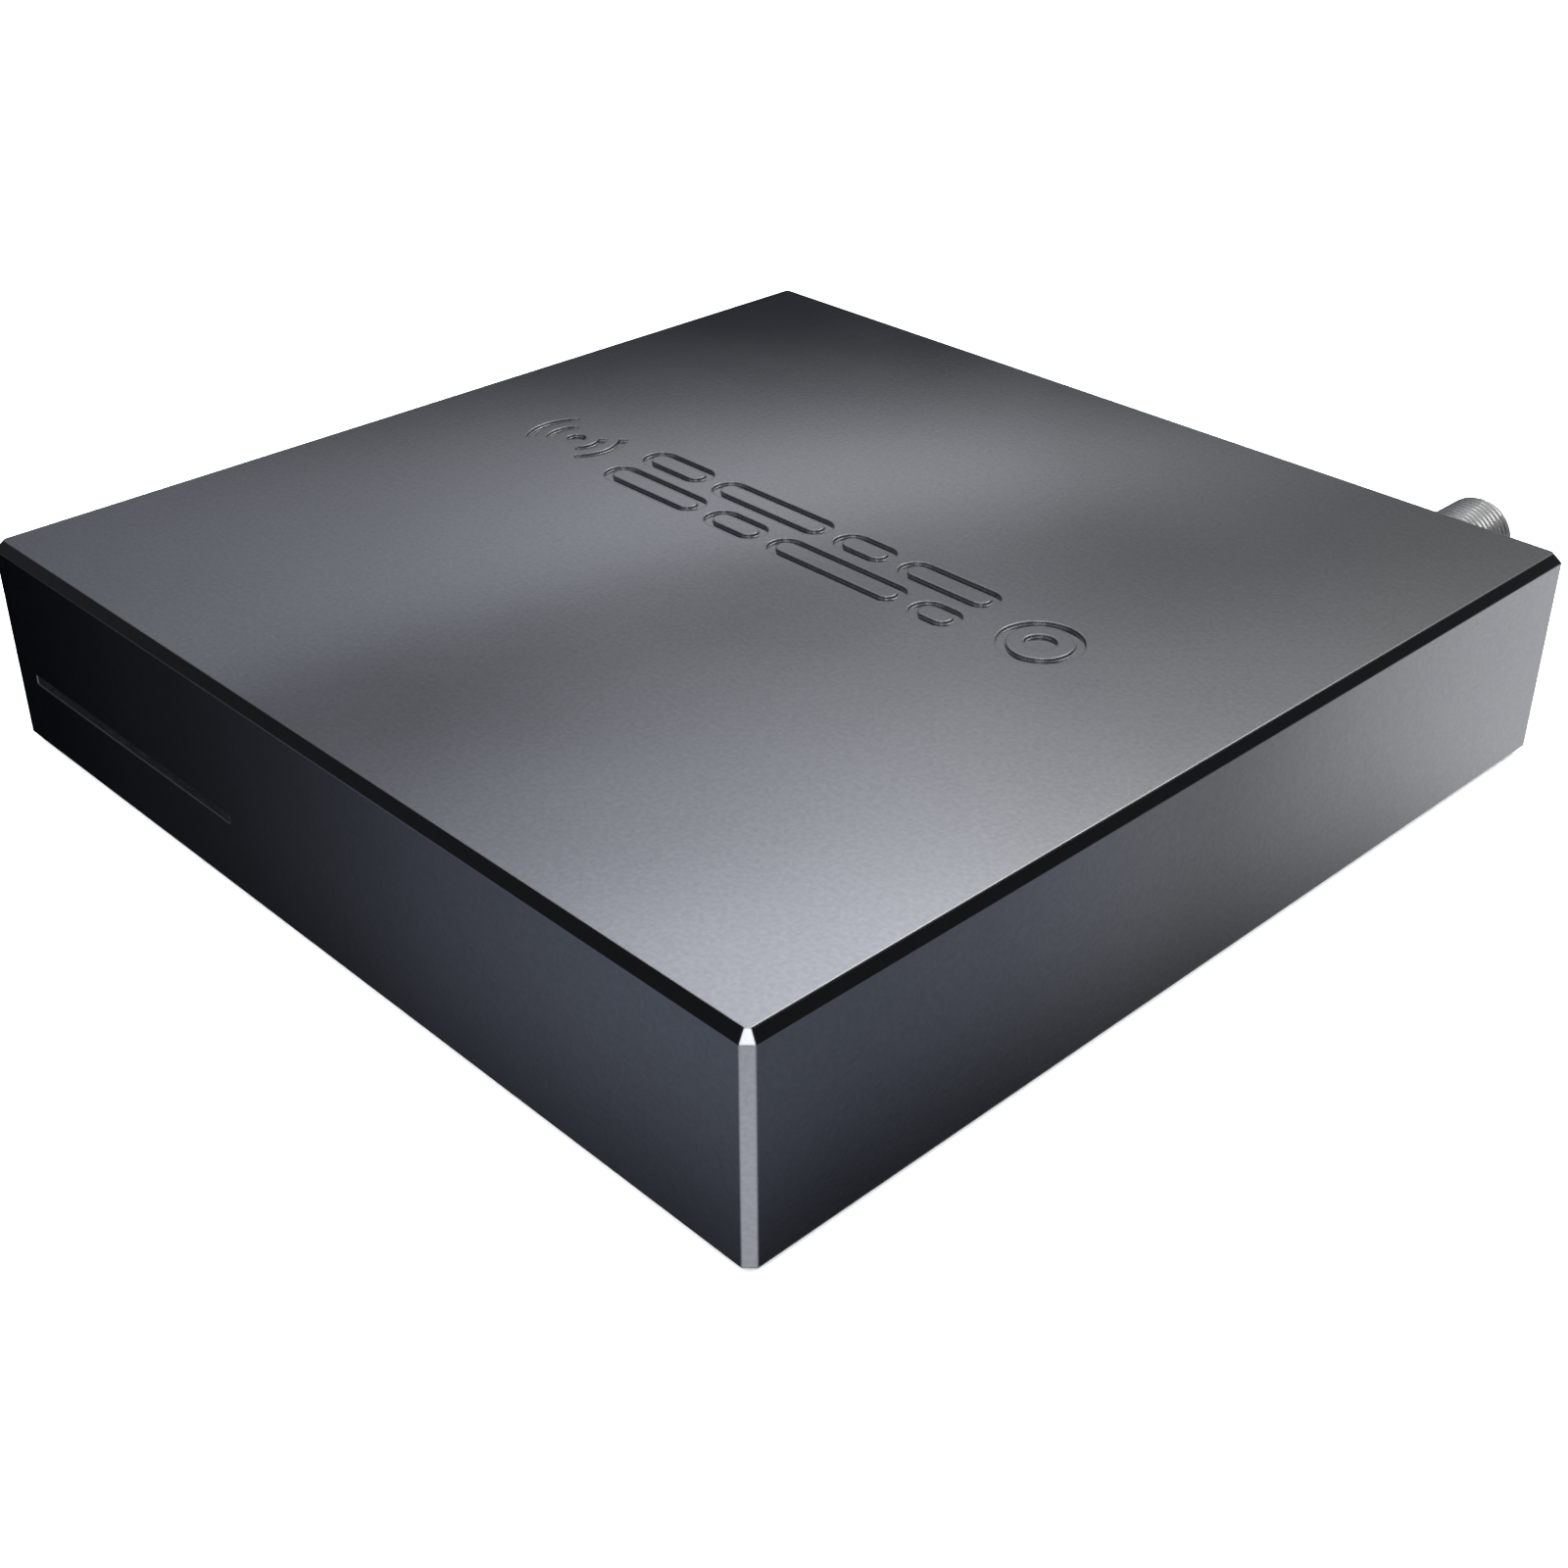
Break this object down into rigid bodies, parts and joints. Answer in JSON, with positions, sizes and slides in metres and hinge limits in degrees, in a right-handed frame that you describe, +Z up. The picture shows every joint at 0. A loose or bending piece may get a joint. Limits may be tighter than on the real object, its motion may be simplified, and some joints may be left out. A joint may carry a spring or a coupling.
{
  "type": "network television recorder",
  "caption": "Flat square metal set-top box that tunes an aerial signal and records it on an internal hard drive, with rear aerial, network and power sockets.",
  "frame": {"origin": "on the table, under the middle of the whole object with its aerial socket", "axes": "+X to the right seen from the front, +Y to the rear where the sockets are, +Z up"},
  "size_m": [0.128, 0.1446, 0.0263],
  "materials": {
    "shell_metal": "satin, fine sparkle",
    "tray_metal": "fine powder coat",
    "panel_plastic": "fine spark texture",
    "light_window": "smoked, polished",
    "foot_rubber": "matte",
    "black_screw": "black oxide",
    "label_film": "silver film, blank",
    "plated_metal": "bright nickel",
    "tin_plate": "bright tin",
    "ivory_plastic": "smooth",
    "gold_contact": "gold flash",
    "jack_lights": "clear, tinted",
    "chip_plastic": "moulded",
    "grey_plastic": "moulded",
    "circuit_board": "solder mask",
    "brass_spacer": "turned",
    "steel_screw": "bright zinc",
    "pad_silicone": "soft",
    "heat_sink_metal": "black anodised",
    "capacitor_sleeve": "shrink sleeve",
    "coil_ferrite": "ground",
    "led_lens": "clear",
    "bracket_steel": "zinc",
    "cast_metal": "cast and machined",
    "drive_lid_steel": "satin",
    "coil_copper": "enamelled copper",
    "hub_metal": "turned",
    "disc_mirror": "polished"
  },
  "bodies": {
    "housing": {"actuator_pivot": "steel_screw", "antenna_connector_body": "plated_metal", "antenna_connector_contact": "gold_contact", "antenna_connector_insulator": "ivory_plastic", "antenna_connector_nut": "plated_metal", "antenna_connector_washer": "plated_metal", "base_tray": "tray_metal", "blank_label": "label_film", "board_screws": "steel_screw", "board_standoffs": "brass_spacer", "bracket_posts": "brass_spacer", "bracket_screws": "steel_screw", "capacitors": "capacitor_sleeve", "case_screws": "black_screw", "drive_base": "cast_metal", "drive_board": "circuit_board", "drive_bracket": "bracket_steel", "drive_connector": "panel_plastic", "drive_cover": "drive_lid_steel", "drive_cover_screws": "steel_screw", "drive_grommets": "foot_rubber", "drive_mounting_screws": "steel_screw", "flash_chip": "chip_plastic", "heat_sink": "heat_sink_metal", "load_ramp": "ivory_plastic", "main_board": "circuit_board", "memory_chips": "chip_plastic", "network_jack_contacts": "gold_contact", "network_jack_housing": "panel_plastic", "network_jack_lights": "jack_lights", "network_jack_shield": "tin_plate", "network_transformer": "chip_plastic", "power_coils": "coil_ferrite", "power_jack_housing": "panel_plastic", "power_jack_pin": "plated_metal", "power_jack_spring": "tin_plate", "processor_chip": "chip_plastic", "rear_panel": "panel_plastic", "reset_switch_body": "chip_plastic", "reset_switch_plate": "tin_plate", "rubber_feet": "foot_rubber", "sata_socket": "panel_plastic", "spindle_post": "steel_screw", "spindle_stator": "coil_copper", "status_leds": "led_lens", "status_light_bar": "light_window", "thermal_pad": "pad_silicone", "top_cover": "shell_metal", "tuner_chips": "chip_plastic", "tuner_shield": "tin_plate", "voice_coil_magnets": "plated_metal"},
    "disc_rotor": {"spindle_hub": "hub_metal", "platter": "disc_mirror", "platter_clamp": "hub_metal", "clamp_screws": "steel_screw"},
    "head_arm": {"actuator_arm": "cast_metal", "actuator_coil": "coil_copper", "read_heads": "chip_plastic"},
    "reset_button": {"reset_plunger": "grey_plastic"}
  },
  "joints": [
    {"name": "disc_spin", "type": "hinge", "parent": "housing", "child": "disc_rotor", "pos_m": [-0.0201, -0.02325, 0.015], "axis": [0, 0, 1], "continuous": true},
    {"name": "head_swing", "type": "hinge", "parent": "housing", "child": "head_arm", "pos_m": [0.021, -0.03225, 0.015], "axis": [0, 0, 1], "range_deg": [0, 32]},
    {"name": "reset_press", "type": "slide", "parent": "housing", "child": "reset_button", "axis": [0, -1, 0], "range_m": [0, 0.0003], "stiffness_N_per_m": 1500, "springref_m": -0.0002}
  ]
}
